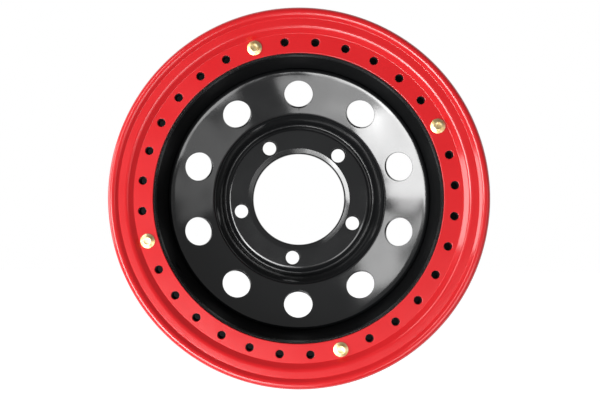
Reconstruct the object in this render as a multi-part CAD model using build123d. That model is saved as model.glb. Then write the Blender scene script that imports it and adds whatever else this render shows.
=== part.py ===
from build123d import *
from itertools import pairwise
from math import atan2, ceil, copysign, cos, degrees, radians, sin, tan
import os

# Steel beadlock wheel: a welded barrel and disc, with a bolted clamp ring on the outer face.
# The wheel turns about Y. Its outer face looks towards -Y, and the origin is the centre of the
# hub mounting plane. Profiles are drawn as (radius, height), with height measured from the
# mounting plane towards the outer face.

# Rim: bead seat diameter, width between flanges, and the mounting plane's distance
# behind the rim's centre plane
BEAD_SEAT_D = 380.2
RIM_WIDTH = 203.2
OFFSET_BEHIND_CENTRE = 19.0
BARREL_T = 3.5
WELL_INNER_R = 151.5
WELL_REAR_END = -16.0
WELL_FRONT_END = 42.0
WELL_BEND_R = 12.0
SPIGOT_LENGTH = 8.0

# Rear bead seat and flange
SEAT_ANGLE = 5.0
SEAT_LENGTH = 22.0
HUMP_RISE = 1.2
HUMP_LENGTH = 4.0
SHOULDER_LENGTH = 6.0
SHOULDER_DROP = 3.0
HEEL_R = 6.5
FLANGE_HEIGHT = 17.3
FLANGE_CURL_R = 9.5
FLANGE_LIP = 12.0

# Valve hole in the front half of the barrel
VALVE_HOLE_D = 11.5
VALVE_HOLE_ANGLE = 210.0
VALVE_HOLE_BEHIND_RING = 19.0

# Clamp ring: pressed sheet with a bolt flat, then a raised rim of a step, a land, a second step
# and a rolled lip. Its widths are measured along the radius.
RING_T = 4.0
RING_OUTER_R = 206.7
RAISED_WIDTH = 27.1
FLAT_WIDTH = 21.2
STEP_RISE = 6.5
STEP_ANGLE = 46.0
STEP_CREST_R = 6.5
LIP_WIDTH = 11.5
LIP_R = 5.2
LIP_SKIRT = 4.0

# Ring bolts: how far their circle lies outside the ring's bore, then their holes and sizes
BOLT_INSET = 12.1
BOLT_COUNT = 32
BOLT_START_ANGLE = 4.8
FITTED_BOLTS = (2, 9, 17, 25)
THREAD_D = 8.0
THREAD_CLEARANCE = 0.05
CLAMP_HOLE_D = 9.0
BOLT_LENGTH = 20.0
BOLT_FLANGE_D = 16.0
BOLT_FLANGE_EDGE_T = 0.8
BOLT_FLANGE_T = 2.0
HEX_FLATS = 10.0
HEX_HEIGHT = 5.6
HEAD_DISH_D = 6.4
HEAD_DISH_DEPTH = 0.7

# Inner ring: plate with tapped holes, whose bore shows inside the clamp ring as a ledge, then the
# register that the tyre's bead sits on, below the clamp ring's edge, and the backing flange
PLATE_LEDGE = 2.0
PLATE_T = 12.0
BEAD_DEPTH = 17.7
BEAD_GAP = 18.0
BACKING_SETBACK = 1.7
BACKING_T = 6.0
BACKING_FOOT = 10.0
PLATE_CHAMFER = 1.0

# Disc: pressed sheet
DISC_T = 5.0
BORE_R = 54.0
BORE_EDGE_R = 3.0
BORE_CHAMFER_WIDTH = 6.5
BORE_CHAMFER_ANGLE = 21.0
PAD_RAISE = 4.5
PAD_OUTER_R = 84.3
PAD_EDGE_R = 7.2
PAD_EDGE_ANGLE = 62.0
GROOVE_WIDTH = 1.8
GROOVE_R = 0.5
WALL_RISE = 21.0
WALL_ANGLE = 64.5
WALL_BEND_R = 8.0
DISH_ANGLE = 25.0
CROWN_ANGLE = 10.0
CROWN_R = 22.0
CROWN_FLAT = 0.2
CROWN_EDGE_R = 4.0
DISC_FLANGE_END = 12.0

# Lug holes with conical seats
LUG_CIRCLE_D = 139.7
LUG_COUNT = 5
LUG_START_ANGLE = 48.0
LUG_HOLE_D = 16.0
LUG_SEAT_D = 18.5
LUG_SEAT_HALF_ANGLE = 30.0

# Vents
VENT_COUNT = 10
VENT_START_ANGLE = 18.0
VENT_CIRCLE_R = 121.9
VENT_D = 33.2

# Welds
WELD_LEG = 5.0
DISC_WELD_COUNT = 8
DISC_WELD_ANGLE = 27.0
DISC_WELD_START_ANGLE = 12.0

# Heights of the faces that the pieces share
CENTRE_PLANE = OFFSET_BEHIND_CENTRE
REAR_FLANGE_FACE = CENTRE_PLANE - RIM_WIDTH / 2
FRONT_FLANGE_FACE = CENTRE_PLANE + RIM_WIDTH / 2
FLAT_FRONT = FRONT_FLANGE_FACE - (STEP_RISE - RING_T)
PLATE_FRONT = FLAT_FRONT - RING_T
PLATE_REAR = PLATE_FRONT - PLATE_T
BACKING_FRONT = FRONT_FLANGE_FACE - BEAD_GAP
BACKING_REAR = BACKING_FRONT - BACKING_T
GROOVE_FRONT = DISC_T
PAD_FRONT = GROOVE_FRONT + PAD_RAISE

# Radii that follow from those above
BEAD_SEAT_R = BEAD_SEAT_D / 2
WELL_OUTER_R = WELL_INNER_R + BARREL_T
FLAT_OUTER_R = RING_OUTER_R - RAISED_WIDTH
RING_INNER_R = FLAT_OUTER_R - FLAT_WIDTH
LAND_OUTER_R = RING_OUTER_R - LIP_WIDTH
BOLT_CIRCLE_R = RING_INNER_R + BOLT_INSET
PLATE_INNER_R = RING_INNER_R - PLATE_LEDGE
REGISTER_R = RING_OUTER_R - BEAD_DEPTH
BACKING_R = RING_OUTER_R - BACKING_SETBACK
BARREL_FRONT_R = PLATE_INNER_R + BARREL_T
GROOVE_INNER_R = PAD_OUTER_R + PAD_RAISE / tan(radians(PAD_EDGE_ANGLE))
GROOVE_OUTER_R = GROOVE_INNER_R + GROOVE_WIDTH
BEND_R = GROOVE_OUTER_R + WALL_RISE / tan(radians(WALL_ANGLE))
BEND_FRONT = GROOVE_FRONT + WALL_RISE

# How a bend is drawn: as flats of at most this turn in degrees, or as a plain corner if it is tight
BEND_STEP_ANGLE = 40.0
TIGHTEST_BEND_R = 2.5
PLAIN_CORNER = 0.0

# Reach of a cutter that goes right through
MUCH_LONGER = 100.0


def spin(section):
    """Turn a section drawn as (radius, height) into a full ring."""
    return revolve(Plane.XZ * section, Axis.Z)


def right_of(run):
    """The direction square to a run, on its right."""
    return Vector(run.Y, -run.X)


def bend(corner, before, after, radius):
    """Points round one bend of a line that runs in the first direction and then the second."""
    if radius < TIGHTEST_BEND_R:
        return [corner]
    turn = degrees(atan2(before.cross(after).Z, before.dot(after)))
    start = corner - before * radius * tan(radians(abs(turn) / 2))
    centre = start - right_of(before) * copysign(radius, turn)
    flats = ceil(abs(turn) / BEND_STEP_ANGLE)
    turns = [turn * index / flats for index in range(flats + 1)]
    return [centre + (start - centre).rotate(Axis.Z, part_turn) for part_turn in turns]


def sheet(points, bends, thickness):
    """Section of a pressed sheet: its front line, and a back line parallel to it on the right."""
    corners = [Vector(*point) for point in points]
    runs = [(end - start).normalized() for start, end in pairwise(corners)]
    front = [corners[0]]
    back = [corners[0] + right_of(runs[0]) * thickness]
    for corner, radius, before, after in zip(corners[1:], bends, runs, runs[1:]):
        mitre = (right_of(before) + right_of(after)) * thickness / (1 + before.dot(after))
        outward = copysign(thickness, before.cross(after).Z)
        front += bend(corner, before, after, radius)
        back += bend(corner + mitre, before, after, radius + outward)
    front.append(corners[-1])
    back.append(corners[-1] + right_of(runs[-1]) * thickness)
    return make_face(Polyline(*front, *reversed(back), close=True))


def around(solid, count, start):
    """Copies of a solid, evenly spaced about the wheel's axis."""
    return [Rot(Z=start + 360 / count * index) * solid for index in range(count)]


def dish_front(radius):
    """Height of the disc's sloping front face at a radius."""
    return BEND_FRONT + (radius - BEND_R) * tan(radians(DISH_ANGLE))


def make_barrel():
    seat_drop = SEAT_LENGTH * tan(radians(SEAT_ANGLE))
    hump_start = REAR_FLANGE_FACE + SEAT_LENGTH
    hump_top = hump_start + HUMP_LENGTH
    shoulder = hump_top + SHOULDER_LENGTH
    seat_end_r = BEAD_SEAT_R - seat_drop
    points = [
        (BARREL_FRONT_R, PLATE_REAR),
        (BARREL_FRONT_R, PLATE_REAR - SPIGOT_LENGTH),
        (WELL_OUTER_R, WELL_FRONT_END),
        (WELL_OUTER_R, WELL_REAR_END),
        (seat_end_r - SHOULDER_DROP, shoulder),
        (seat_end_r + HUMP_RISE, hump_top),
        (seat_end_r, hump_start),
        (BEAD_SEAT_R, REAR_FLANGE_FACE),
        (BEAD_SEAT_R + FLANGE_HEIGHT, REAR_FLANGE_FACE),
        (BEAD_SEAT_R + FLANGE_HEIGHT, REAR_FLANGE_FACE - FLANGE_LIP),
    ]
    well_bends = [PLAIN_CORNER, PLAIN_CORNER, WELL_BEND_R]
    hump_bends = [PLAIN_CORNER] * 3
    bends = well_bends + hump_bends + [HEEL_R, FLANGE_CURL_R]
    barrel = spin(sheet(points, bends, BARREL_T))
    valve_hole = Plane(
        origin=(0, 0, PLATE_REAR - VALVE_HOLE_BEHIND_RING), x_dir=(0, 0, 1), z_dir=(1, 0, 0)
    ) * Cylinder(VALVE_HOLE_D / 2, RING_OUTER_R, align=(Align.CENTER, Align.CENTER, Align.MIN))
    return barrel - Rot(Z=VALVE_HOLE_ANGLE) * valve_hole


def make_disc():
    crown_bend = CROWN_R * tan(radians(DISH_ANGLE - CROWN_ANGLE) / 2)
    edge_bend = DISC_T * tan(radians(90 + CROWN_ANGLE) / 2)
    crown_length = crown_bend + CROWN_FLAT + edge_bend
    crown_r = WELL_INNER_R - crown_length * cos(radians(CROWN_ANGLE))
    crown_front = dish_front(crown_r)
    crown_top = crown_front + crown_length * sin(radians(CROWN_ANGLE))
    chamfer_drop = BORE_CHAMFER_WIDTH * tan(radians(BORE_CHAMFER_ANGLE))
    points = [
        (BORE_R, 0),
        (BORE_R, PAD_FRONT - chamfer_drop),
        (BORE_R + BORE_CHAMFER_WIDTH, PAD_FRONT),
        (PAD_OUTER_R, PAD_FRONT),
        (GROOVE_INNER_R, GROOVE_FRONT),
        (GROOVE_OUTER_R, GROOVE_FRONT),
        (BEND_R, BEND_FRONT),
        (crown_r, crown_front),
        (WELL_INNER_R, crown_top),
        (WELL_INNER_R, DISC_FLANGE_END),
    ]
    pad_bends = [BORE_EDGE_R, PLAIN_CORNER, PAD_EDGE_R, GROOVE_R, GROOVE_R]
    bends = pad_bends + [WALL_BEND_R, CROWN_R, CROWN_EDGE_R]
    disc = spin(sheet(points, bends, DISC_T))
    return disc - make_lug_cutters() - make_vent_cutters()


def make_lug_cutters():
    seat_depth = (LUG_SEAT_D - LUG_HOLE_D) / 2 / tan(radians(LUG_SEAT_HALF_ANGLE))
    hole = Pos(LUG_CIRCLE_D / 2, 0, PAD_FRONT) * Cylinder(LUG_HOLE_D / 2, MUCH_LONGER)
    seat = Pos(LUG_CIRCLE_D / 2, 0, PAD_FRONT - seat_depth / 2) * Cone(
        LUG_HOLE_D / 2, LUG_SEAT_D / 2, seat_depth
    )
    return around(hole + seat, LUG_COUNT, LUG_START_ANGLE)


def make_vent_cutters():
    tilt = radians(DISH_ANGLE)
    centre = (VENT_CIRCLE_R, 0, dish_front(VENT_CIRCLE_R))
    vent_plane = Plane(origin=centre, x_dir=(0, 1, 0), z_dir=(-sin(tilt), 0, cos(tilt)))
    return around(vent_plane * Cylinder(VENT_D / 2, VENT_D), VENT_COUNT, VENT_START_ANGLE)


def make_disc_welds():
    section = make_face(
        Polyline(
            (WELL_INNER_R, DISC_FLANGE_END),
            (WELL_INNER_R, DISC_FLANGE_END - WELD_LEG),
            (WELL_INNER_R - WELD_LEG, DISC_FLANGE_END),
            close=True,
        )
    )
    weld = revolve(Plane.XZ * section, Axis.Z, DISC_WELD_ANGLE)
    return around(weld, DISC_WELD_COUNT, DISC_WELD_START_ANGLE)


def make_inner_ring():
    outline = Polyline(
        (PLATE_INNER_R, PLATE_FRONT),
        (REGISTER_R - PLATE_CHAMFER, PLATE_FRONT),
        (REGISTER_R, PLATE_FRONT - PLATE_CHAMFER),
        (REGISTER_R, BACKING_FRONT),
        (BACKING_R, BACKING_FRONT),
        (BACKING_R, BACKING_REAR),
        (REGISTER_R - BACKING_FOOT, BACKING_REAR),
        (REGISTER_R - BACKING_FOOT, PLATE_REAR),
        (PLATE_INNER_R, PLATE_REAR),
        close=True,
    )
    hole = Pos(BOLT_CIRCLE_R, 0, PLATE_FRONT) * Cylinder(THREAD_D / 2, MUCH_LONGER)
    return spin(make_face(outline)) - around(hole, BOLT_COUNT, BOLT_START_ANGLE)


def make_inner_ring_weld():
    section = make_face(
        Polyline(
            (BARREL_FRONT_R, PLATE_REAR),
            (BARREL_FRONT_R + WELD_LEG, PLATE_REAR),
            (BARREL_FRONT_R, PLATE_REAR - WELD_LEG),
            close=True,
        )
    )
    return spin(section)


def make_clamp_ring():
    slope = tan(radians(STEP_ANGLE))
    land_front = FLAT_FRONT + STEP_RISE
    lip_corner = land_front + (RING_OUTER_R - LAND_OUTER_R) * slope
    skirt_end = lip_corner - LIP_R / tan(radians(90 - STEP_ANGLE) / 2) - LIP_SKIRT
    points = [
        (RING_INNER_R, FLAT_FRONT),
        (FLAT_OUTER_R, FLAT_FRONT),
        (FLAT_OUTER_R + STEP_RISE / slope, land_front),
        (LAND_OUTER_R, land_front),
        (RING_OUTER_R, lip_corner),
        (RING_OUTER_R, skirt_end),
    ]
    bends = [PLAIN_CORNER, STEP_CREST_R, PLAIN_CORNER, LIP_R]
    ring = spin(sheet(points, bends, RING_T))
    hole = Pos(BOLT_CIRCLE_R, 0, FLAT_FRONT) * Cylinder(CLAMP_HOLE_D / 2, MUCH_LONGER)
    return ring - around(hole, BOLT_COUNT, BOLT_START_ANGLE)


def make_bolt():
    """One flange bolt, seated on the clamp ring's flat, with a dished hexagon head."""
    shank = Cylinder(
        THREAD_D / 2 - THREAD_CLEARANCE, BOLT_LENGTH, align=(Align.CENTER, Align.CENTER, Align.MAX)
    )
    flange_section = make_face(
        Polyline(
            (0, 0),
            (BOLT_FLANGE_D / 2, 0),
            (BOLT_FLANGE_D / 2, BOLT_FLANGE_EDGE_T),
            (HEX_FLATS / 2, BOLT_FLANGE_T),
            (0, BOLT_FLANGE_T),
            close=True,
        )
    )
    hexagon = extrude(RegularPolygon(HEX_FLATS / 2, 6, major_radius=False), HEX_HEIGHT)
    dish = Pos(0, 0, HEX_HEIGHT) * Cylinder(HEAD_DISH_D / 2, 2 * HEAD_DISH_DEPTH)
    return shank + spin(flange_section) + hexagon - dish


def make_bolts():
    bolt = Pos(BOLT_CIRCLE_R, 0, FLAT_FRONT) * make_bolt()
    step = 360 / BOLT_COUNT
    return [Rot(Z=BOLT_START_ANGLE + step * position) * bolt for position in FITTED_BOLTS]


def write(node, solids):
    """Turn the outer face from +Z to -Y and save the node."""
    placed = [Rot(X=90) * solid for solid in solids]
    shape = placed[0] if len(placed) == 1 else Compound(children=placed)
    export_step(shape, f"parts/{node}.step")


os.makedirs("parts", exist_ok=True)
write("rim_barrel", [make_barrel()])
write("wheel_disc", [make_disc()])
write("disc_welds", make_disc_welds())
write("beadlock_inner_ring", [make_inner_ring()])
write("inner_ring_weld", [make_inner_ring_weld()])
write("clamp_ring", [make_clamp_ring()])
write("clamp_bolts", make_bolts())
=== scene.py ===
from itertools import pairwise
from math import atan2, ceil, copysign, cos, hypot, pi, radians, sin, tan

import bmesh
import bpy
from mathutils import Matrix, Vector


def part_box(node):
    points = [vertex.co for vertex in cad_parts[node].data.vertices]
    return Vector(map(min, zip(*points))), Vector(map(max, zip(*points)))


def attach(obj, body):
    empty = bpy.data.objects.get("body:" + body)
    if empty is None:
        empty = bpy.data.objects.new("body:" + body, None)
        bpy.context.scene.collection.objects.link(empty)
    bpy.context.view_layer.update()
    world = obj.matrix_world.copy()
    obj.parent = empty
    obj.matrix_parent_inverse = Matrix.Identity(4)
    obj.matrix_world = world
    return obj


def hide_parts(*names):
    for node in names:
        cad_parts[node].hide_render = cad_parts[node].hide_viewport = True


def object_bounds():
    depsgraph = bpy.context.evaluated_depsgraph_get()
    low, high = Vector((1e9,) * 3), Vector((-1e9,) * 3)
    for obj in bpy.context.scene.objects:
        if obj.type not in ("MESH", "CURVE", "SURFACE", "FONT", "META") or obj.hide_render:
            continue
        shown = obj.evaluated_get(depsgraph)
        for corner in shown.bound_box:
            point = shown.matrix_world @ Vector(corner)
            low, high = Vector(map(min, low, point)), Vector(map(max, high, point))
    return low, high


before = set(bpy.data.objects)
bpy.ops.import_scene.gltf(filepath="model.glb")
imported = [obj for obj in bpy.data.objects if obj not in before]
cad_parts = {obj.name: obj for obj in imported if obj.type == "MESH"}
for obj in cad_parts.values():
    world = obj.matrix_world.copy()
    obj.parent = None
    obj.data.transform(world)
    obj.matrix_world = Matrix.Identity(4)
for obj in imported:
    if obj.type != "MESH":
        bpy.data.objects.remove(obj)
cad_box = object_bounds()

# A steel beadlock wheel, seen square on. Sizes are in millimetres and angles in degrees.
# Sections are drawn as (radius, height), with height from the hub plane towards the outer face,
# which looks along -Y. Angles run from +X towards +Z.
MM = 0.001
BODY = "root"
FRONT = Vector((0, -1, 0))


def reach(node):
    """Radius, front height and rear height of a solid of the frame."""
    low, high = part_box(node)
    return high.x / MM, -low.y / MM, -high.y / MM


# Sizes that the frame gives
RING_R, _, PLATE_FRONT = reach("clamp_ring")
BACKING_R, _, BACKING_REAR = reach("beadlock_inner_ring")
FLANGE_R, PLATE_REAR, BARREL_REAR = reach("rim_barrel")
WELL_R, _, HUB_PLANE = reach("wheel_disc")

# Meshes: columns round the wheel and round a hole, turn of one flat in a bend, radius of a plain
# edge, angle from which an edge stays sharp, and slope from which a face counts as facing a way
RING_COLUMNS = 384
DISC_COLUMNS = 360
HOLE_COLUMNS = 48
BEND_STEP = 12.0
EDGE_R = 0.5
SHARP_ANGLE = 35.0
FACING = 0.3

# Barrel
BARREL_T = 3.5
SPIGOT = 8.0
WELL_FRONT = 42.0
WELL_REAR = -16.0
WELL_BEND_R = 12.0
SPIGOT_BEND_R = 6.0
SEAT_R = 190.1
SEAT_LENGTH = 22.0
SEAT_ANGLE = 5.0
HUMP_RISE = 1.2
HUMP_LENGTH = 4.0
HUMP_BEND_R = 4.0
SHOULDER_LENGTH = 6.0
SHOULDER_DROP = 3.0
HEEL_R = 6.5
CURL_R = 9.5
FLANGE_LIP = 12.0
VALVE_ANGLE = 210.0
VALVE_R = 5.75
VALVE_BEHIND_RING = 19.0

# Clamp ring
RING_T = 4.0
RING_BORE_R = 158.4
FLAT_R = 179.6
STEP_RISE = 6.5
STEP_ANGLE = 46.0
FOOT_R = 0.9
CREST_R = 6.5
LAND_R = 195.2
LIP_R = 5.2
LIP_SKIRT = 4.0
RING_EDGE_R = 0.8
BOLT_CIRCLE_R = 170.5
BOLT_HOLES = 32
FIRST_BOLT_HOLE = 4.8
CLAMP_HOLE_R = 4.5
CLAMP_HOLE_EDGE_R = 0.9

# Inner ring
PLATE_BORE_R = 156.4
REGISTER_R = 189.0
BACKING_T = 6.0
BACKING_FOOT = 10.0
PLATE_EDGE_R = 0.7
THREAD_R = 4.0
THREAD_DEPTH = 0.6
THREAD_PITCH = 1.25

# Disc
DISC_T = 5.0
BORE_R = 54.0
BORE_EDGE_R = 3.0
BORE_CHAMFER_WIDTH = 6.5
BORE_CHAMFER_ANGLE = 21.0
BORE_CHAMFER_R = 1.0
PAD_RAISE = 4.5
PAD_R = 84.3
PAD_EDGE_R = 7.2
PAD_EDGE_ANGLE = 62.0
GROOVE_WIDTH = 1.8
GROOVE_R = 1.2
WALL_RISE = 21.0
WALL_ANGLE = 64.5
WALL_BEND_R = 12.0
DISH_ANGLE = 25.0
CROWN_ANGLE = 20.0
CROWN_R = 22.0
CROWN_FLAT = 0.2
CROWN_EDGE_R = 4.0
DISC_END = 12.0
LUGS = 5
FIRST_LUG = 48.0
LUG_CIRCLE_R = 69.85
LUG_R = 8.0
LUG_SEAT_R = 9.25
LUG_SEAT_ANGLE = 30.0
VENTS = 10
FIRST_VENT = 18.0
VENT_CIRCLE_R = 121.9
VENT_R = 16.6
VENT_EDGE_R = 0.7

# Bolts
FITTED_BOLTS = (2, 9, 17, 25)
BOLT_LENGTH = 20.0
BOLT_R = 3.95
BOLT_FLANGE_R = 8.0
BOLT_FLANGE_EDGE = 0.8
BOLT_FLANGE_T = 2.0
HEX_HALF = 5.0
HEX_HEIGHT = 5.6
HEX_CHAMFER_ANGLE = 25.0
HEX_TOP_R = 4.6
DISH_R = 3.2
DISH_DEPTH = 0.7

# Welds, with the points across a bead's face and the sections along one of its ripples
WELD_LEG = 5.0
WELD_BULGE = 1.1
WELD_RIPPLE = 2.6
WELD_RIPPLE_DEPTH = 0.35
WELD_FACE_STEPS = 6
WELD_RIPPLE_STEPS = 5
DISC_WELDS = 8
DISC_WELD_ARC = 27.0
FIRST_DISC_WELD = 12.0

# A cutter's flare leaves the surface at this angle, so that the cut is clean
FLARE_ANGLE = 10.0
FLARE_WIDTH = 3.0

# Heights and radii that follow
FLAT_FRONT = PLATE_FRONT + RING_T
LAND_FRONT = FLAT_FRONT + STEP_RISE
GROOVE_FRONT = HUB_PLANE + DISC_T
PAD_FRONT = GROOVE_FRONT + PAD_RAISE
GROOVE_IN_R = PAD_R + PAD_RAISE / tan(radians(PAD_EDGE_ANGLE))
GROOVE_OUT_R = GROOVE_IN_R + GROOVE_WIDTH
BEND_R = GROOVE_OUT_R + WALL_RISE / tan(radians(WALL_ANGLE))
BEND_FRONT = GROOVE_FRONT + WALL_RISE
BARREL_FRONT_R = PLATE_BORE_R + BARREL_T
REAR_FACE = BARREL_REAR + FLANGE_LIP


def dish_front(radius):
    """Height of the disc's sloping face at a radius."""
    return BEND_FRONT + (radius - BEND_R) * tan(radians(DISH_ANGLE))


# Places round the wheel, with angles in radians

def polar(radius, height, angle):
    """Point of the wheel in metres, from its radius, height and angle."""
    return Vector((radius * cos(angle), -height, radius * sin(angle))) * MM


def outwards(angle):
    """Direction away from the wheel's axis."""
    return Vector((cos(angle), 0, sin(angle)))


def around(angle):
    """Direction round the wheel's axis."""
    return Vector((-sin(angle), 0, cos(angle)))


def columns_of(count):
    """Angles of points evenly spaced round a circle."""
    return [2 * pi * index / count for index in range(count)]


def angles_of(count, first):
    """Angles of things evenly spaced round the wheel, from the first one's in degrees."""
    return [radians(first + 360 / count * index) for index in range(count)]


# Sections

def bend(before, corner, after, radius):
    """Points round one corner of an outline."""
    incoming = (corner - before).normalized()
    outgoing = (after - corner).normalized()
    turn = atan2(incoming.cross(outgoing), incoming.dot(outgoing))
    start = corner - incoming * radius * tan(abs(turn) / 2)
    side = Vector((-incoming.y, incoming.x)) * copysign(radius, turn)
    steps = max(1, ceil(abs(turn) / radians(BEND_STEP)))
    turns = [turn * index / steps for index in range(steps + 1)]
    return [start + side - Matrix.Rotation(part, 2) @ side for part in turns]


def rounded(corners, radii):
    """Closed outline whose corners are rounded to the radii."""
    before = corners[-1:] + corners[:-1]
    after = corners[1:] + corners[:1]
    points = []
    for row in zip(before, corners, after, radii):
        points += bend(*row)
    return points


def sheet(line, bends, thickness, edge_r=EDGE_R):
    """Outline of a pressed sheet: its front line, and the back line parallel to it on the right."""
    front = [Vector(point) for point in line]
    runs = [(end - start).normalized() for start, end in pairwise(front)]
    rights = [Vector((run.y, -run.x)) for run in runs]
    back = [front[0] + rights[0] * thickness]
    back_bends = []
    for corner, radius, first, second in zip(front[1:], bends, rights, rights[1:]):
        back.append(corner + (first + second) * thickness / (1 + first.dot(second)))
        outward = copysign(thickness, first.cross(second))
        back_bends.append(max(radius + outward, edge_r))
    back.append(front[-1] + rights[-1] * thickness)
    radii = [edge_r] + bends + [edge_r, edge_r] + back_bends[::-1] + [edge_r]
    return rounded(front + back[::-1], radii)


def barrel_outline():
    """Section of the barrel, from its front end to the lip of its rear flange."""
    hump_start = REAR_FACE + SEAT_LENGTH
    hump_top = hump_start + HUMP_LENGTH
    seat_end_r = SEAT_R - SEAT_LENGTH * tan(radians(SEAT_ANGLE))
    line = [
        (BARREL_FRONT_R, PLATE_REAR),
        (BARREL_FRONT_R, PLATE_REAR - SPIGOT),
        (WELL_R + BARREL_T, WELL_FRONT),
        (WELL_R + BARREL_T, WELL_REAR),
        (seat_end_r - SHOULDER_DROP, hump_top + SHOULDER_LENGTH),
        (seat_end_r + HUMP_RISE, hump_top),
        (seat_end_r, hump_start),
        (SEAT_R, REAR_FACE),
        (FLANGE_R, REAR_FACE),
        (FLANGE_R, BARREL_REAR),
    ]
    bends = [SPIGOT_BEND_R, WELL_BEND_R, WELL_BEND_R] + [HUMP_BEND_R] * 3 + [HEEL_R, CURL_R]
    return sheet(line, bends, BARREL_T)


def disc_outline():
    """Section of the disc, from its hub bore to the end of its welding flange."""
    crown_bend = CROWN_R * tan(radians(DISH_ANGLE - CROWN_ANGLE) / 2)
    edge_bend = DISC_T * tan(radians(90 + CROWN_ANGLE) / 2)
    crown_length = crown_bend + CROWN_FLAT + edge_bend
    crown_r = WELL_R - crown_length * cos(radians(CROWN_ANGLE))
    crown_front = dish_front(crown_r)
    crown_top = crown_front + crown_length * sin(radians(CROWN_ANGLE))
    chamfer_drop = BORE_CHAMFER_WIDTH * tan(radians(BORE_CHAMFER_ANGLE))
    line = [
        (BORE_R, HUB_PLANE),
        (BORE_R, PAD_FRONT - chamfer_drop),
        (BORE_R + BORE_CHAMFER_WIDTH, PAD_FRONT),
        (PAD_R, PAD_FRONT),
        (GROOVE_IN_R, GROOVE_FRONT),
        (GROOVE_OUT_R, GROOVE_FRONT),
        (BEND_R, BEND_FRONT),
        (crown_r, crown_front),
        (WELL_R, crown_top),
        (WELL_R, DISC_END),
    ]
    pad_bends = [BORE_EDGE_R, BORE_CHAMFER_R, PAD_EDGE_R, GROOVE_R, GROOVE_R]
    bends = pad_bends + [WALL_BEND_R, CROWN_R, CROWN_EDGE_R]
    return sheet(line, bends, DISC_T)


def clamp_ring_outline():
    """Section of the clamp ring: the bolted flat, the step, the land and the rolled lip."""
    slope = tan(radians(STEP_ANGLE))
    lip_corner = LAND_FRONT + (RING_R - LAND_R) * slope
    skirt_end = lip_corner - LIP_R / tan(radians(90 - STEP_ANGLE) / 2) - LIP_SKIRT
    line = [
        (RING_BORE_R, FLAT_FRONT),
        (FLAT_R, FLAT_FRONT),
        (FLAT_R + STEP_RISE / slope, LAND_FRONT),
        (LAND_R, LAND_FRONT),
        (RING_R, lip_corner),
        (RING_R, skirt_end),
    ]
    return sheet(line, [FOOT_R, CREST_R, FOOT_R, LIP_R], RING_T, RING_EDGE_R)


def inner_ring_outline():
    """Section of the inner ring: the tapped plate, the bead register and the backing flange."""
    corners = [
        (PLATE_BORE_R, PLATE_FRONT),
        (REGISTER_R, PLATE_FRONT),
        (REGISTER_R, BACKING_REAR + BACKING_T),
        (BACKING_R, BACKING_REAR + BACKING_T),
        (BACKING_R, BACKING_REAR),
        (REGISTER_R - BACKING_FOOT, BACKING_REAR),
        (REGISTER_R - BACKING_FOOT, PLATE_REAR),
        (PLATE_BORE_R, PLATE_REAR),
    ]
    return rounded([Vector(corner) for corner in corners], [PLATE_EDGE_R] * len(corners))


# Meshes

def skin(mesh, rings, closed):
    """Quads between rings of points. The last ring meets the first, or both get end faces."""
    rows = [[mesh.verts.new(point) for point in ring] for ring in rings]
    pairs = list(pairwise(rows))
    if closed:
        pairs.append((rows[-1], rows[0]))
    else:
        mesh.faces.new(rows[0])
        mesh.faces.new(rows[-1])
    for first, second in pairs:
        for index in range(len(first)):
            mesh.faces.new((first[index - 1], first[index], second[index], second[index - 1]))


def piece_from(name, mesh):
    """An object from a finished bmesh, with its faces turned outwards."""
    bmesh.ops.recalc_face_normals(mesh, faces=mesh.faces)
    data = bpy.data.meshes.new(name)
    mesh.to_mesh(data)
    mesh.free()
    piece = bpy.data.objects.new(name, data)
    bpy.context.scene.collection.objects.link(piece)
    return piece


def spin(name, outline, columns):
    """An outline turned round the wheel's axis."""
    mesh = bmesh.new()
    sections = [[polar(point.x, point.y, angle) for point in outline] for angle in columns_of(columns)]
    skin(mesh, sections, True)
    return piece_from(name, mesh)


def cut(piece, cutters):
    """Take the cutters out of a piece."""
    holes = piece.modifiers.new("holes", "BOOLEAN")
    holes.object = cutters
    holes.solver = "EXACT"
    graph = bpy.context.evaluated_depsgraph_get()
    piece.data = bpy.data.meshes.new_from_object(piece.evaluated_get(graph))
    piece.modifiers.clear()
    bpy.data.objects.remove(cutters)


def finish_piece(piece, node, material):
    """Smooth a piece and let it stand for its solid in the frame."""
    piece.data.shade_smooth()
    piece.data.set_sharp_from_angle(angle=radians(SHARP_ANGLE))
    normals = piece.modifiers.new("normals", "WEIGHTED_NORMAL")
    normals.keep_sharp = True
    piece.data.materials.clear()
    piece.data.materials.append(material)
    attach(piece, BODY)
    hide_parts(node)


def paint_faces(piece, material, chosen):
    """Another paint on the faces that are chosen by radius, height, outward and forward slope."""
    piece.data.materials.append(material)
    painted = len(piece.data.materials) - 1
    for face in piece.data.polygons:
        x, y, z = face.center
        radius = hypot(x, z)
        outward = (face.normal.x * x + face.normal.z * z) / radius
        if chosen(radius / MM, -y / MM, outward, -face.normal.y):
            face.material_index = painted


# Holes

def level(u, v):
    """No rise anywhere: the rise of a flat face."""
    return 0.0


class HolePlace:
    """Where a hole goes through a surface: across, along and out of it, and the surface's rise."""

    def __init__(self, centre, across, along, out, rise=level):
        self.centre = centre
        self.across = across
        self.along = along
        self.out = out
        self.rise = rise

    def point(self, radius, height, angle):
        """Point round the hole's axis, with its height from the surface."""
        u = radius * cos(angle)
        v = radius * sin(angle)
        lift = height + self.rise(u, v)
        return self.centre + (self.across * u + self.along * v + self.out * lift) * MM

    def rings(self, line):
        """Rings of points round the hole's axis, one for each (radius, height) of a line."""
        angles = columns_of(HOLE_COLUMNS)
        return [[self.point(radius, height, angle) for angle in angles] for radius, height in line]


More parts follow.
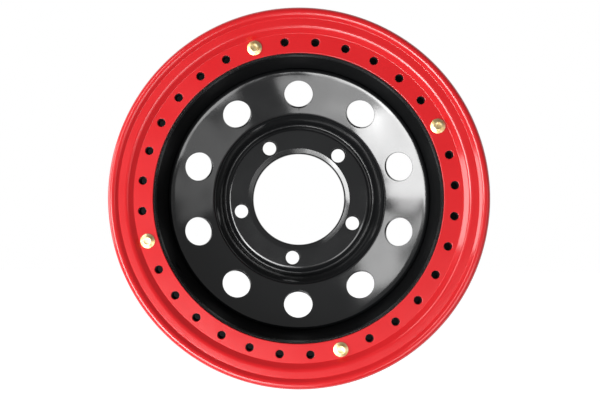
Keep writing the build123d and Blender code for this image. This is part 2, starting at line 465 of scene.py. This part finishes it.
def face_place(radius, height, angle, slope=0.0, rise=level):
    """A hole on the wheel's outer side, in a face that rises outwards by the slope in radians."""
    along = outwards(angle) * cos(slope) + FRONT * sin(slope)
    out = FRONT * cos(slope) - outwards(angle) * sin(slope)
    return HolePlace(polar(radius, height, angle), around(angle), along, out, rise)


def barrel_place(radius, height, angle):
    """A hole in the barrel, seen from inside the wheel."""
    return HolePlace(polar(radius, height, angle), around(angle), FRONT, -outwards(angle))


def flare(radius, edge_r, face, outward):
    """Corner of a cutter where a hole's edge is rounded, and the end of its flare."""
    slope = radians(FLARE_ANGLE)
    dip = edge_r * tan((pi / 2 - slope) / 2) * sin(slope)
    rise = FLARE_WIDTH * tan(slope)
    return Vector((radius, face - outward * dip)), Vector((radius + FLARE_WIDTH, face + outward * rise))


def hole_line(radius, edge_r, thickness):
    """Side of a cutter for a hole through a sheet, with both edges rounded."""
    front, front_end = flare(radius, edge_r, 0.0, 1)
    back, back_end = flare(radius, edge_r, -thickness, -1)
    line = [back_end] + bend(back_end, back, front, edge_r)
    return line + bend(back, front, front_end, edge_r) + [front_end]


def lug_line():
    """Side of a cutter for a lug hole with a conical seat."""
    seat_depth = (LUG_SEAT_R - LUG_R) / tan(radians(LUG_SEAT_ANGLE))
    line = hole_line(LUG_SEAT_R, EDGE_R, DISC_T)
    rim = [point for point in line if point.y > -DISC_T / 2]
    back = [point - Vector((LUG_SEAT_R - LUG_R, 0)) for point in line if point.y < -DISC_T / 2]
    return back + [Vector((LUG_R, -seat_depth))] + rim


def thread_line():
    """Side of a cutter for a tapped hole: the grooves of its thread, and a wider mouth at each end."""
    depth = PLATE_FRONT - PLATE_REAR
    turns = int(depth / THREAD_PITCH)
    line = [(THREAD_R + EDGE_R, -depth - THREAD_PITCH)]
    for turn in range(turns, -1, -1):
        groove = -turn * THREAD_PITCH
        line.append((THREAD_R, groove))
        line.append((THREAD_R - THREAD_DEPTH, groove + THREAD_PITCH / 2))
    line.append((THREAD_R + EDGE_R, THREAD_PITCH))
    return line


def cutters_from(places, line):
    """One object that holds a cutter at each place."""
    mesh = bmesh.new()
    for place in places:
        skin(mesh, place.rings(line), False)
    return piece_from("cutters", mesh)


def dish_rise(u, v):
    """How far the dish's cone lies above its tangent plane at a vent's centre."""
    slope = radians(DISH_ANGLE)
    radius = hypot(VENT_CIRCLE_R + v * cos(slope), u)
    return (radius - VENT_CIRCLE_R) * sin(slope) - v * sin(slope) * cos(slope)


# Pieces

def matt_in_barrel(radius, height, outward, forward):
    """The bore in front of the disc, and the side of the rear flange that the tyre lies on."""
    in_bore = outward < 0 and height > WELL_FRONT - WELL_BEND_R
    return in_bore or (forward > FACING and radius > SEAT_R)


def behind_plate(radius, height, outward, forward):
    """The inner ring's back, bead register and backing flange."""
    return forward < -FACING or radius > REGISTER_R - PLATE_EDGE_R


def make_barrel(material, matt):
    """The barrel, with its valve hole in the slope between the drop centre and the inner ring."""
    piece = spin("rim_barrel_skin", barrel_outline(), RING_COLUMNS)
    height = PLATE_REAR - VALVE_BEHIND_RING
    share = (height - WELL_FRONT) / (PLATE_REAR - SPIGOT - WELL_FRONT)
    radius = WELL_R + (PLATE_BORE_R - WELL_R) * share
    place = barrel_place(radius, height, radians(VALVE_ANGLE))
    cut(piece, cutters_from([place], hole_line(VALVE_R, EDGE_R, BARREL_T)))
    finish_piece(piece, "rim_barrel", material)
    paint_faces(piece, matt, matt_in_barrel)


def make_disc(material):
    """The disc, with its vents in the dish and its lug holes in the pad."""
    piece = spin("wheel_disc_skin", disc_outline(), DISC_COLUMNS)
    slope = radians(DISH_ANGLE)
    vents = [
        face_place(VENT_CIRCLE_R, dish_front(VENT_CIRCLE_R), angle, slope, dish_rise)
        for angle in angles_of(VENTS, FIRST_VENT)
    ]
    lugs = [face_place(LUG_CIRCLE_R, PAD_FRONT, angle) for angle in angles_of(LUGS, FIRST_LUG)]
    cut(piece, cutters_from(vents, hole_line(VENT_R, VENT_EDGE_R, DISC_T)))
    cut(piece, cutters_from(lugs, lug_line()))
    finish_piece(piece, "wheel_disc", material)


def bolt_places(height):
    """Places of the bolt holes, in a flat face at a height."""
    angles = angles_of(BOLT_HOLES, FIRST_BOLT_HOLE)
    return [face_place(BOLT_CIRCLE_R, height, angle) for angle in angles]


def make_clamp_ring(material):
    """The clamp ring, with its clearance holes."""
    piece = spin("clamp_ring_skin", clamp_ring_outline(), RING_COLUMNS)
    line = hole_line(CLAMP_HOLE_R, CLAMP_HOLE_EDGE_R, RING_T)
    cut(piece, cutters_from(bolt_places(FLAT_FRONT), line))
    finish_piece(piece, "clamp_ring", material)


def make_inner_ring(material, plain):
    """The inner ring, with its tapped holes, machined in front and plain behind."""
    piece = spin("inner_ring_skin", inner_ring_outline(), RING_COLUMNS)
    cut(piece, cutters_from(bolt_places(PLATE_FRONT), thread_line()))
    finish_piece(piece, "beadlock_inner_ring", material)
    paint_faces(piece, plain, behind_plate)


def hex_radius(angle):
    """Distance from a hexagon's middle to its side in a direction."""
    sixth = pi / 3
    return HEX_HALF / cos((angle + sixth / 2) % sixth - sixth / 2)


def hex_ring(place, height):
    """A ring of points on the hexagon, cut down where the chamfer meets its corners."""
    slope = tan(radians(HEX_CHAMFER_ANGLE))
    ring = []
    for angle in columns_of(HOLE_COLUMNS):
        radius = hex_radius(angle)
        ring.append(place.point(radius, min(height, HEX_HEIGHT - (radius - HEX_TOP_R) * slope), angle))
    return ring


def shank_line():
    """Side of a bolt's shank, from its tip along the turns of its thread."""
    line = [(BOLT_R - THREAD_DEPTH, -BOLT_LENGTH)]
    for turn in range(int(BOLT_LENGTH / THREAD_PITCH), 0, -1):
        crest = THREAD_PITCH / 4 - turn * THREAD_PITCH
        line.append((BOLT_R, crest))
        line.append((BOLT_R - THREAD_DEPTH, crest + THREAD_PITCH / 2))
    return line


def bolt_rings(place):
    """Rings of points from the tip of a flange bolt to the dish in its head."""
    flange = [
        (BOLT_R, 0.0),
        (BOLT_FLANGE_R, 0.0),
        (BOLT_FLANGE_R, BOLT_FLANGE_EDGE),
        (HEX_HALF, BOLT_FLANGE_T),
    ]
    dish = [
        (HEX_TOP_R, HEX_HEIGHT),
        (DISH_R, HEX_HEIGHT),
        (DISH_R / 2, HEX_HEIGHT - DISH_DEPTH),
    ]
    hexagon = [hex_ring(place, height) for height in (BOLT_FLANGE_T, HEX_HEIGHT)]
    return place.rings(shank_line() + flange) + hexagon + place.rings(dish)


def make_bolts(material):
    """The fitted bolts, each a piece of its own."""
    places = bolt_places(FLAT_FRONT)
    for number, position in enumerate(FITTED_BOLTS, 1):
        mesh = bmesh.new()
        skin(mesh, bolt_rings(places[position]), False)
        piece = piece_from(f"clamp_bolt_{number}", mesh)
        finish_piece(piece, "clamp_bolts", material)


def bead_section(root, toe, other_toe, fullness):
    """Points across a weld bead, from its root round its bulging face."""
    middle = (toe + other_toe) / 2
    out = (middle - root).normalized()
    points = [root]
    for index in range(WELD_FACE_STEPS + 1):
        share = index / WELD_FACE_STEPS
        points.append(toe.lerp(other_toe, share) + out * fullness * sin(pi * share))
    return points


def ripple(distance):
    """Fullness of a weld bead along its length, with one scallop for each puddle."""
    phase = distance / WELD_RIPPLE % 1.0
    return WELD_BULGE - WELD_RIPPLE_DEPTH * phase * phase


def bead_rings(root, toe, other_toe, start, arc):
    """Rings of points along a weld bead."""
    length = arc * root.x
    count = ceil(length / WELD_RIPPLE * WELD_RIPPLE_STEPS)
    rings = []
    for index in range(count + 1):
        angle = start + arc * index / count
        section = bead_section(root, toe, other_toe, ripple(length * index / count))
        rings.append([polar(point.x, point.y, angle) for point in section])
    return rings


def make_disc_welds(material):
    """The stitch welds behind the disc's flange."""
    root = Vector((WELL_R, DISC_END))
    toe = Vector((WELL_R, DISC_END - WELD_LEG))
    other_toe = Vector((WELL_R - WELD_LEG, DISC_END))
    mesh = bmesh.new()
    for start in angles_of(DISC_WELDS, FIRST_DISC_WELD):
        skin(mesh, bead_rings(root, toe, other_toe, start, radians(DISC_WELD_ARC)), False)
    finish_piece(piece_from("disc_weld_beads", mesh), "disc_welds", material)


def make_ring_weld(material):
    """The weld all round between the barrel and the inner ring."""
    root = Vector((BARREL_FRONT_R, PLATE_REAR))
    toe = Vector((BARREL_FRONT_R + WELD_LEG, PLATE_REAR))
    other_toe = Vector((BARREL_FRONT_R, PLATE_REAR - WELD_LEG))
    mesh = bmesh.new()
    skin(mesh, bead_rings(root, toe, other_toe, 0.0, 2 * pi)[:-1], True)
    finish_piece(piece_from("inner_ring_weld_bead", mesh), "inner_ring_weld", material)


# Materials

# Paints: colours, and the noises in their gloss and relief. A scale is in features for each metre,
# and for each radian in the marks of machining. A depth is in metres.
BLACK = (0.0065, 0.0069, 0.0074)
SATIN_BLACK = (0.0065, 0.0068, 0.0072)
RED = (0.49, 0.004, 0.0072)
CLOUD_SCALE = 35.0
CLOUD_DETAIL = 3.0
WAVE_SCALE = 24.0
WAVE_DETAIL = 0.0
WAVE_STRENGTH = 1.0
WAVE_DEPTH = 0.0016
PEEL_SCALE = 900.0
PEEL_DETAIL = 2.0
PEEL_STRENGTH = 0.03
PEEL_DEPTH = 0.0004
MARKS_SCALE = 64.0
MARKS_STRENGTH = 1.0
MARKS_DEPTH = 0.0007
LACQUER_WEIGHT = 1.0
LACQUER_ROUGHNESS = 0.12

# Plating: its two tints, the noise values up to and from which they are pure, and its gloss
STRAW = (0.72, 0.5, 0.2)
PALE_GOLD = (0.86, 0.7, 0.42)
STRAW_UP_TO = 0.35
GOLD_FROM = 0.65
TINT_SCALE = 260.0
TINT_DETAIL = 2.0
GRAIN_SCALE = 600.0
GRAIN_DETAIL = 3.0
GRAIN_ROUGHNESS = (0.3, 0.42)

# Most values of a noise lie between these two
NOISE_LOW = 0.3
NOISE_HIGH = 0.7


def new_material(name):
    """A material with its node tree and its shader."""
    material = bpy.data.materials.new(name)
    material.use_nodes = True
    return material, material.node_tree, shader_of(material)


def shader_of(material):
    return material.node_tree.nodes["Principled BSDF"]


def math_node(tree, operation, first, second):
    """Arithmetic on two outputs, or on an output and a number."""
    node = tree.nodes.new("ShaderNodeMath")
    node.operation = operation
    for socket, value in zip(node.inputs, (first, second)):
        if isinstance(value, float):
            socket.default_value = value
        else:
            tree.links.new(value, socket)
    return node.outputs["Value"]


def object_noise(tree, scale, detail):
    """Noise fixed to the object, with the scale in features for each metre."""
    place = tree.nodes.new("ShaderNodeTexCoord")
    noise = tree.nodes.new("ShaderNodeTexNoise")
    noise.inputs["Scale"].default_value = scale
    noise.inputs["Detail"].default_value = detail
    tree.links.new(place.outputs["Object"], noise.inputs["Vector"])
    return noise.outputs["Fac"]


def spread(tree, value, low, high):
    """Map a noise to a range."""
    node = tree.nodes.new("ShaderNodeMapRange")
    node.inputs["From Min"].default_value = NOISE_LOW
    node.inputs["From Max"].default_value = NOISE_HIGH
    node.inputs["To Min"].default_value = low
    node.inputs["To Max"].default_value = high
    tree.links.new(value, node.inputs["Value"])
    return node.outputs["Result"]


def bump(tree, shader, height, strength, distance):
    """Relief on a shader, on top of any that it has."""
    node = tree.nodes.new("ShaderNodeBump")
    node.inputs["Strength"].default_value = strength
    node.inputs["Distance"].default_value = distance
    tree.links.new(height, node.inputs["Height"])
    normal = shader.inputs["Normal"]
    for link in normal.links:
        tree.links.new(link.from_socket, node.inputs["Normal"])
    tree.links.new(node.outputs["Normal"], normal)


def paint(name, colour, shine, roughness, unevenness):
    """Sprayed paint on a pressing: uneven gloss, shallow waves and a fine orange peel."""
    material, tree, shader = new_material(name)
    shader.inputs["Base Color"].default_value = (*colour, 1)
    shader.inputs["Specular IOR Level"].default_value = shine
    cloud = object_noise(tree, CLOUD_SCALE, CLOUD_DETAIL)
    gloss = spread(tree, cloud, roughness - unevenness, roughness + unevenness)
    tree.links.new(gloss, shader.inputs["Roughness"])
    bump(tree, shader, object_noise(tree, WAVE_SCALE, WAVE_DETAIL), WAVE_STRENGTH, WAVE_DEPTH)
    bump(tree, shader, object_noise(tree, PEEL_SCALE, PEEL_DETAIL), PEEL_STRENGTH, PEEL_DEPTH)
    return material


def lacquered(material):
    """A clear coat over a paint, smoother than the paint itself."""
    shader = shader_of(material)
    shader.inputs["Coat Weight"].default_value = LACQUER_WEIGHT
    shader.inputs["Coat Roughness"].default_value = LACQUER_ROUGHNESS
    return material


def machined(material):
    """A paint over a machined surface, whose marks run along the wheel's axis."""
    tree = material.node_tree
    place = tree.nodes.new("ShaderNodeTexCoord")
    split = tree.nodes.new("ShaderNodeSeparateXYZ")
    tree.links.new(place.outputs["Object"], split.inputs["Vector"])
    angle = math_node(tree, "ARCTAN2", split.outputs["Z"], split.outputs["X"])
    marks = tree.nodes.new("ShaderNodeTexNoise")
    marks.noise_dimensions = "1D"
    marks.inputs["Scale"].default_value = MARKS_SCALE
    tree.links.new(angle, marks.inputs["W"])
    bump(tree, shader_of(material), marks.outputs["Fac"], MARKS_STRENGTH, MARKS_DEPTH)
    return material


def zinc(name):
    """Yellow zinc plating: a metal whose tint drifts from straw to pale gold."""
    material, tree, shader = new_material(name)
    shader.inputs["Metallic"].default_value = 1.0
    ramp = tree.nodes.new("ShaderNodeValToRGB")
    straw, gold = ramp.color_ramp.elements
    straw.position = STRAW_UP_TO
    straw.color = (*STRAW, 1)
    gold.position = GOLD_FROM
    gold.color = (*PALE_GOLD, 1)
    tree.links.new(object_noise(tree, TINT_SCALE, TINT_DETAIL), ramp.inputs["Fac"])
    tree.links.new(ramp.outputs["Color"], shader.inputs["Base Color"])
    gloss = spread(tree, object_noise(tree, GRAIN_SCALE, GRAIN_DETAIL), *GRAIN_ROUGHNESS)
    tree.links.new(gloss, shader.inputs["Roughness"])
    return material


# Studio, with lengths in metres

# Watts for each square metre of a lamp whose face is as bright as white
LAMP_WATTS = 4.0
BOX_DISTANCE = 1.5

# Soft boxes that face the wheel: the angles of the middle off and round the wheel's axis, the angles
# spanned along and across that direction, and the brightness of the face
SOFT_BOXES = {
    "key_box": (38.0, 204.0, 20.0, 34.0, 10.0),
    "near_box": (27.5, 238.0, 21.0, 22.0, 8.0),
    "left_box": (46.0, 150.0, 12.0, 32.0, 4.6),
    "low_box": (26.0, 318.0, 18.0, 20.0, 3.6),
    "table_box": (47.0, 253.0, 18.0, 34.0, 2.8),
    "right_box": (47.0, 336.0, 18.0, 46.0, 0.9),
    "side_box": (82.0, 178.0, 20.0, 30.0, 5.0),
}

# Brightness of the room in front of the wheel and behind it, and the share of the white in front that
# glossy surfaces mirror
ROOM_FRONT = 0.09
ROOM_BACK = 0.6
FRONT_MIRRORED = 0.18
WHITE = (1, 1, 1, 1)

# Floor: the glow is what the camera sees besides the lit floor
FLOOR_GREY = (0.8, 0.8, 0.8, 1)
FLOOR_ROUGHNESS = 0.9
FLOOR_GLOW = 0.75
FLOOR_DROP = 0.55
FLOOR_SIZE = 12.0
FLOOR_IN_FRONT = 0.2

# Camera: its place, its turns in degrees, and its lens and shift in the photograph's pixels
CAMERA_DISTANCE = 1.15
CAMERA_RIGHT = 0.0142
CAMERA_DOWN = 0.0147
TURN_LEFT = 2.74
TURN_UP = 0.71
TILT = 0.11
PHOTO_WIDTH = 600
FOCAL_PIXELS = 1057
AXIS_LEFT_PIXELS = 40.0
AXIS_UP_PIXELS = 2.0


def soft_box(name, off_axis, round_axis, radial_spread, cross_spread, radiance):
    """A rectangular lamp at a fixed distance from the middle of the wheel's face."""
    data = bpy.data.lights.new(name, "AREA")
    data.shape = "RECTANGLE"
    data.size = 2 * BOX_DISTANCE * tan(radians(cross_spread) / 2)
    data.size_y = 2 * BOX_DISTANCE * tan(radians(radial_spread) / 2)
    data.energy = radiance * LAMP_WATTS * data.size * data.size_y
    lamp = bpy.data.objects.new(name, data)
    bpy.context.scene.collection.objects.link(lamp)
    aside = outwards(radians(round_axis))
    away = FRONT * cos(radians(off_axis)) + aside * sin(radians(off_axis))
    along = aside * cos(radians(off_axis)) - FRONT * sin(radians(off_axis))
    turn = Matrix((along.cross(away), along, away)).transposed()
    lamp.matrix_world = Matrix.Translation(FRONT * FLAT_FRONT * MM + away * BOX_DISTANCE) @ turn.to_4x4()


def seen_directly(tree, path, mirrored):
    """1 for rays from the camera and through glass, and the given share for mirrored ones."""
    seen = math_node(tree, "MAXIMUM", path.outputs["Is Camera Ray"], path.outputs["Is Transmission Ray"])
    return math_node(tree, "MAXIMUM", seen, mirrored)


def make_world():
    """White behind the wheel for the camera, and for light a dim room with a paler back."""
    world = bpy.data.worlds.new("studio")
    bpy.context.scene.world = world
    world.use_nodes = True
    tree = world.node_tree
    room = tree.nodes["Background"]
    room.inputs["Color"].default_value = WHITE
    white = tree.nodes.new("ShaderNodeBackground")
    white.inputs["Color"].default_value = WHITE
    white.inputs["Strength"].default_value = 1.0
    path = tree.nodes.new("ShaderNodeLightPath")
    way = tree.nodes.new("ShaderNodeTexCoord")
    split = tree.nodes.new("ShaderNodeSeparateXYZ")
    tree.links.new(way.outputs["Generated"], split.inputs["Vector"])
    behind = math_node(tree, "GREATER_THAN", split.outputs["Y"], 0.0)
    paler = math_node(tree, "MULTIPLY", behind, ROOM_BACK - ROOM_FRONT)
    tree.links.new(math_node(tree, "ADD", paler, ROOM_FRONT), room.inputs["Strength"])
    share = math_node(tree, "MAXIMUM", behind, FRONT_MIRRORED)
    mirrored = math_node(tree, "MULTIPLY", path.outputs["Is Glossy Ray"], share)
    mix = tree.nodes.new("ShaderNodeMixShader")
    tree.links.new(seen_directly(tree, path, mirrored), mix.inputs["Fac"])
    tree.links.new(room.outputs["Background"], mix.inputs[1])
    tree.links.new(white.outputs["Background"], mix.inputs[2])
    tree.links.new(mix.outputs["Shader"], tree.nodes["World Output"].inputs["Surface"])


def make_floor():
    """A pale floor below the wheel, which hangs on its hub."""
    mesh = bmesh.new()
    bmesh.ops.create_grid(mesh, x_segments=1, y_segments=1, size=FLOOR_SIZE / 2)
    floor = piece_from("floor", mesh)
    floor.location = (0, FLOOR_SIZE / 2 - FLOOR_IN_FRONT, cad_box[0].z - FLOOR_DROP)
    material, tree, shader = new_material("floor_white")
    shader.inputs["Base Color"].default_value = FLOOR_GREY
    shader.inputs["Roughness"].default_value = FLOOR_ROUGHNESS
    shader.inputs["Emission Color"].default_value = WHITE
    path = tree.nodes.new("ShaderNodeLightPath")
    seen = seen_directly(tree, path, path.outputs["Is Glossy Ray"])
    glow = math_node(tree, "MULTIPLY", seen, FLOOR_GLOW)
    tree.links.new(glow, shader.inputs["Emission Strength"])
    floor.data.materials.append(material)


def make_camera():
    """A camera near the wheel's axis that looks a little past the wheel, as in the photograph."""
    data = bpy.data.cameras.new("camera")
    data.lens = data.sensor_width * FOCAL_PIXELS / PHOTO_WIDTH
    data.shift_x = AXIS_LEFT_PIXELS / PHOTO_WIDTH
    data.shift_y = -AXIS_UP_PIXELS / PHOTO_WIDTH
    camera = bpy.data.objects.new("camera", data)
    bpy.context.scene.collection.objects.link(camera)
    camera.location = (CAMERA_RIGHT, -FLAT_FRONT * MM - CAMERA_DISTANCE, -CAMERA_DOWN)
    camera.rotation_euler = (pi / 2 + radians(TURN_UP), -radians(TILT), radians(TURN_LEFT))
    bpy.context.scene.camera = camera


def make_wheel():
    """All pieces of the wheel, in their finishes."""
    black = paint("black_paint", BLACK, shine=0.8, roughness=0.15, unevenness=0.02)
    satin = paint("black_satin_paint", SATIN_BLACK, shine=0.02, roughness=0.6, unevenness=0.05)
    turned = machined(paint("black_turned_paint", BLACK, shine=0.15, roughness=0.3, unevenness=0.05))
    red = lacquered(paint("red_paint", RED, shine=0.16, roughness=0.45, unevenness=0.04))
    plating = zinc("yellow_zinc")
    make_barrel(black, satin)
    make_disc(black)
    make_disc_welds(satin)
    make_inner_ring(turned, black)
    make_ring_weld(satin)
    make_clamp_ring(red)
    make_bolts(plating)


def make_studio():
    """Lamps, room, floor and camera."""
    bpy.context.scene.view_settings.view_transform = "Standard"
    for name, box in SOFT_BOXES.items():
        soft_box(name, *box)
    make_world()
    make_floor()
    make_camera()


make_wheel()
make_studio()
